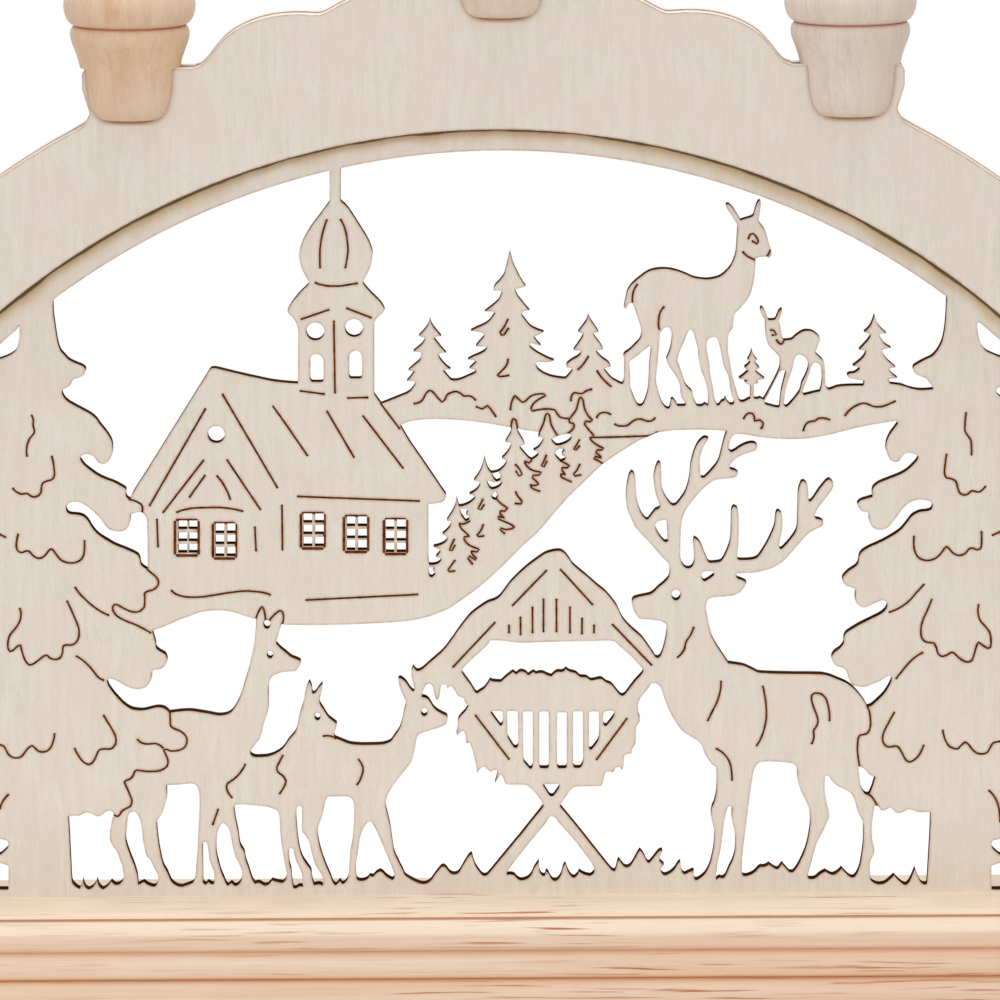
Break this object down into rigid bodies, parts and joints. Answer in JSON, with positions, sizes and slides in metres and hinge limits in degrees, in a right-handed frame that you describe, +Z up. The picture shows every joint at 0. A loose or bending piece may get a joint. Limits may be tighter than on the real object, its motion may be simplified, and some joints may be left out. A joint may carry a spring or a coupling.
{
  "type": "candle arch",
  "caption": "Laser-cut plywood candle arch with a village and deer scene, on a moulded pine base, with electric candles in turned wooden cups.",
  "frame": {"origin": "middle of the underside of the felt pads, under the base", "axes": "+Z up, +X to the viewer's right along the base, the picture's front looks along -Y"},
  "size_m": [0.4306, 0.042, 0.3514],
  "materials": {
    "plywood": "fine pale plywood, unvarnished, laser-browned edges",
    "pine": "bare planed pine, lengthwise grain",
    "turned_wood": "bare turned wood, satin",
    "socket_plastic": "matte",
    "cap_brass": "bright",
    "ivory_shaft": "satin ivory",
    "lamp_glass": "clear",
    "filament_wire": "thin wire on a glass stem",
    "felt": "wool felt",
    "lead_sheath": "pale sheath",
    "screw_steel": "zinc-plated",
    "grommet_rubber": "matte"
  },
  "bodies": {
    "frame": {"front_arch": "plywood", "back_arch": "plywood", "scene_panel": "plywood", "base_front_rail": "pine", "base_back_rail": "pine", "base_core": "pine", "base_end_left": "pine", "base_end_right": "pine", "cord_grommet": "grommet_rubber", "base_screws": "screw_steel", "felt_pads": "felt", "lamp_lead": "lead_sheath", "candle_cup_1": "turned_wood", "lamp_socket_1": "socket_plastic", "candle_cup_2": "turned_wood", "lamp_socket_2": "socket_plastic", "candle_cup_3": "turned_wood", "lamp_socket_3": "socket_plastic", "candle_cup_4": "turned_wood", "lamp_socket_4": "socket_plastic", "candle_cup_5": "turned_wood", "lamp_socket_5": "socket_plastic", "candle_cup_6": "turned_wood", "lamp_socket_6": "socket_plastic", "candle_cup_7": "turned_wood", "lamp_socket_7": "socket_plastic"},
    "lamp_1": {"lamp_cap_1": "cap_brass", "lamp_shaft_1": "ivory_shaft", "lamp_glass_1": "lamp_glass", "lamp_filament_1": "filament_wire"},
    "lamp_2": {"lamp_cap_2": "cap_brass", "lamp_shaft_2": "ivory_shaft", "lamp_glass_2": "lamp_glass", "lamp_filament_2": "filament_wire"},
    "lamp_3": {"lamp_cap_3": "cap_brass", "lamp_shaft_3": "ivory_shaft", "lamp_glass_3": "lamp_glass", "lamp_filament_3": "filament_wire"},
    "lamp_4": {"lamp_cap_4": "cap_brass", "lamp_shaft_4": "ivory_shaft", "lamp_glass_4": "lamp_glass", "lamp_filament_4": "filament_wire"},
    "lamp_5": {"lamp_cap_5": "cap_brass", "lamp_shaft_5": "ivory_shaft", "lamp_glass_5": "lamp_glass", "lamp_filament_5": "filament_wire"},
    "lamp_6": {"lamp_cap_6": "cap_brass", "lamp_shaft_6": "ivory_shaft", "lamp_glass_6": "lamp_glass", "lamp_filament_6": "filament_wire"},
    "lamp_7": {"lamp_cap_7": "cap_brass", "lamp_shaft_7": "ivory_shaft", "lamp_glass_7": "lamp_glass", "lamp_filament_7": "filament_wire"}
  },
  "joints": [
    {"name": "lamp_1_screw", "type": "hinge", "parent": "frame", "child": "lamp_1", "pos_m": [-0.20022, 0, 0.14653], "axis": [0, 0, 1], "range_deg": [0, 270]},
    {"name": "lamp_2_screw", "type": "hinge", "parent": "frame", "child": "lamp_2", "pos_m": [-0.1566, 0, 0.21715], "axis": [0, 0, 1], "range_deg": [0, 270]},
    {"name": "lamp_3_screw", "type": "hinge", "parent": "frame", "child": "lamp_3", "pos_m": [-0.08568, 0, 0.26714], "axis": [0, 0, 1], "range_deg": [0, 270]},
    {"name": "lamp_4_screw", "type": "hinge", "parent": "frame", "child": "lamp_4", "pos_m": [0.0009, 0, 0.2907], "axis": [0, 0, 1], "range_deg": [0, 270]},
    {"name": "lamp_5_screw", "type": "hinge", "parent": "frame", "child": "lamp_5", "pos_m": [0.08228, 0, 0.26714], "axis": [0, 0, 1], "range_deg": [0, 270]},
    {"name": "lamp_6_screw", "type": "hinge", "parent": "frame", "child": "lamp_6", "pos_m": [0.1532, 0, 0.21715], "axis": [0, 0, 1], "range_deg": [0, 270]},
    {"name": "lamp_7_screw", "type": "hinge", "parent": "frame", "child": "lamp_7", "pos_m": [0.19682, 0, 0.14653], "axis": [0, 0, 1], "range_deg": [0, 270]}
  ]
}
